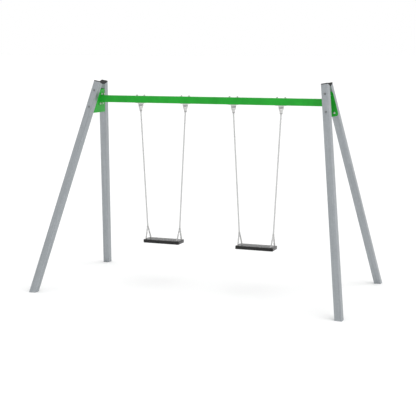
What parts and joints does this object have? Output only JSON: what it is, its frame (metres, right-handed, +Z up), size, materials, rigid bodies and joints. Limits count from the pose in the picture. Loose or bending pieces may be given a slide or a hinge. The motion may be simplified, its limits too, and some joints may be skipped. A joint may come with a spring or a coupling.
{
  "type": "swing set",
  "caption": "Playground swing set with splayed galvanised A-frame legs, a painted crossbeam, and flat rubber seats hung on chains from pivoting hangers.",
  "frame": {"origin": "on the ground, midway between the four feet", "axes": "+Z up, +X along the crossbeam to the right-hand A-frame, +Y the way a person swings, with the front at -Y"},
  "size_m": [3.7012, 1.9896, 2.4181],
  "materials": {
    "galvanised_steel": "hot-dip galvanised, matt with faint spangle",
    "green_paint": "satin powder coat",
    "zinc_steel": "zinc plated, satin",
    "chain_steel": "galvanised wire, satin",
    "cap_plastic": "matt black",
    "rubber": "matt black, ribbed"
  },
  "bodies": {
    "frame": {"beam_bolt_left_lower_a": "zinc_steel", "beam_bolt_left_lower_b": "zinc_steel", "beam_bolt_left_upper_a": "zinc_steel", "beam_bolt_left_upper_b": "zinc_steel", "beam_bolt_right_lower_a": "zinc_steel", "beam_bolt_right_lower_b": "zinc_steel", "beam_bolt_right_upper_a": "zinc_steel", "beam_bolt_right_upper_b": "zinc_steel", "bracket_left": "green_paint", "bracket_right": "green_paint", "crossbeam": "green_paint", "hanger_bolt_left_left_a": "zinc_steel", "hanger_bolt_left_left_b": "zinc_steel", "hanger_bolt_left_right_a": "zinc_steel", "hanger_bolt_left_right_b": "zinc_steel", "hanger_bolt_right_left_a": "zinc_steel", "hanger_bolt_right_left_b": "zinc_steel", "hanger_bolt_right_right_a": "zinc_steel", "hanger_bolt_right_right_b": "zinc_steel", "hanger_mount_left_left": "zinc_steel", "hanger_mount_left_right": "zinc_steel", "hanger_mount_right_left": "zinc_steel", "hanger_mount_right_right": "zinc_steel", "leg_bolt_front_left_lower": "zinc_steel", "leg_bolt_front_left_upper": "zinc_steel", "leg_bolt_front_right_lower": "zinc_steel", "leg_bolt_front_right_upper": "zinc_steel", "leg_bolt_rear_left_lower": "zinc_steel", "leg_bolt_rear_left_upper": "zinc_steel", "leg_bolt_rear_right_lower": "zinc_steel", "leg_bolt_rear_right_upper": "zinc_steel", "leg_cap_front_left": "cap_plastic", "leg_cap_front_right": "cap_plastic", "leg_cap_rear_left": "cap_plastic", "leg_cap_rear_right": "cap_plastic", "leg_front_left": "galvanised_steel", "leg_front_right": "galvanised_steel", "leg_rear_left": "galvanised_steel", "leg_rear_right": "galvanised_steel"},
    "swing_left": {"chain_left_left": "chain_steel", "chain_left_right": "chain_steel", "hanger_pin_left_left": "zinc_steel", "hanger_pin_left_right": "zinc_steel", "stirrup_left_left": "zinc_steel", "stirrup_left_right": "zinc_steel"},
    "swing_right": {"chain_right_left": "chain_steel", "chain_right_right": "chain_steel", "hanger_pin_right_left": "zinc_steel", "hanger_pin_right_right": "zinc_steel", "stirrup_right_left": "zinc_steel", "stirrup_right_right": "zinc_steel"},
    "seat_left": {"seat_chain_left_left": "chain_steel", "seat_chain_left_right": "chain_steel", "seat_insert_left": "zinc_steel", "seat_rubber_left": "rubber"},
    "seat_right": {"seat_chain_right_left": "chain_steel", "seat_chain_right_right": "chain_steel", "seat_insert_right": "zinc_steel", "seat_rubber_right": "rubber"}
  },
  "joints": [
    {"name": "swing_left_pivot", "type": "hinge", "parent": "frame", "child": "swing_left", "pos_m": [-0.581, 0, 2.127], "axis": [1, 0, 0], "range_deg": [-60, 60]},
    {"name": "seat_left_tilt", "type": "hinge", "parent": "swing_left", "child": "seat_left", "pos_m": [-0.581, 0, 0.695], "axis": [1, 0, 0], "range_deg": [-30, 30]},
    {"name": "swing_right_pivot", "type": "hinge", "parent": "frame", "child": "swing_right", "pos_m": [0.581, 0, 2.127], "axis": [1, 0, 0], "range_deg": [-60, 60]},
    {"name": "seat_right_tilt", "type": "hinge", "parent": "swing_right", "child": "seat_right", "pos_m": [0.581, 0, 0.695], "axis": [1, 0, 0], "range_deg": [-30, 30]}
  ]
}
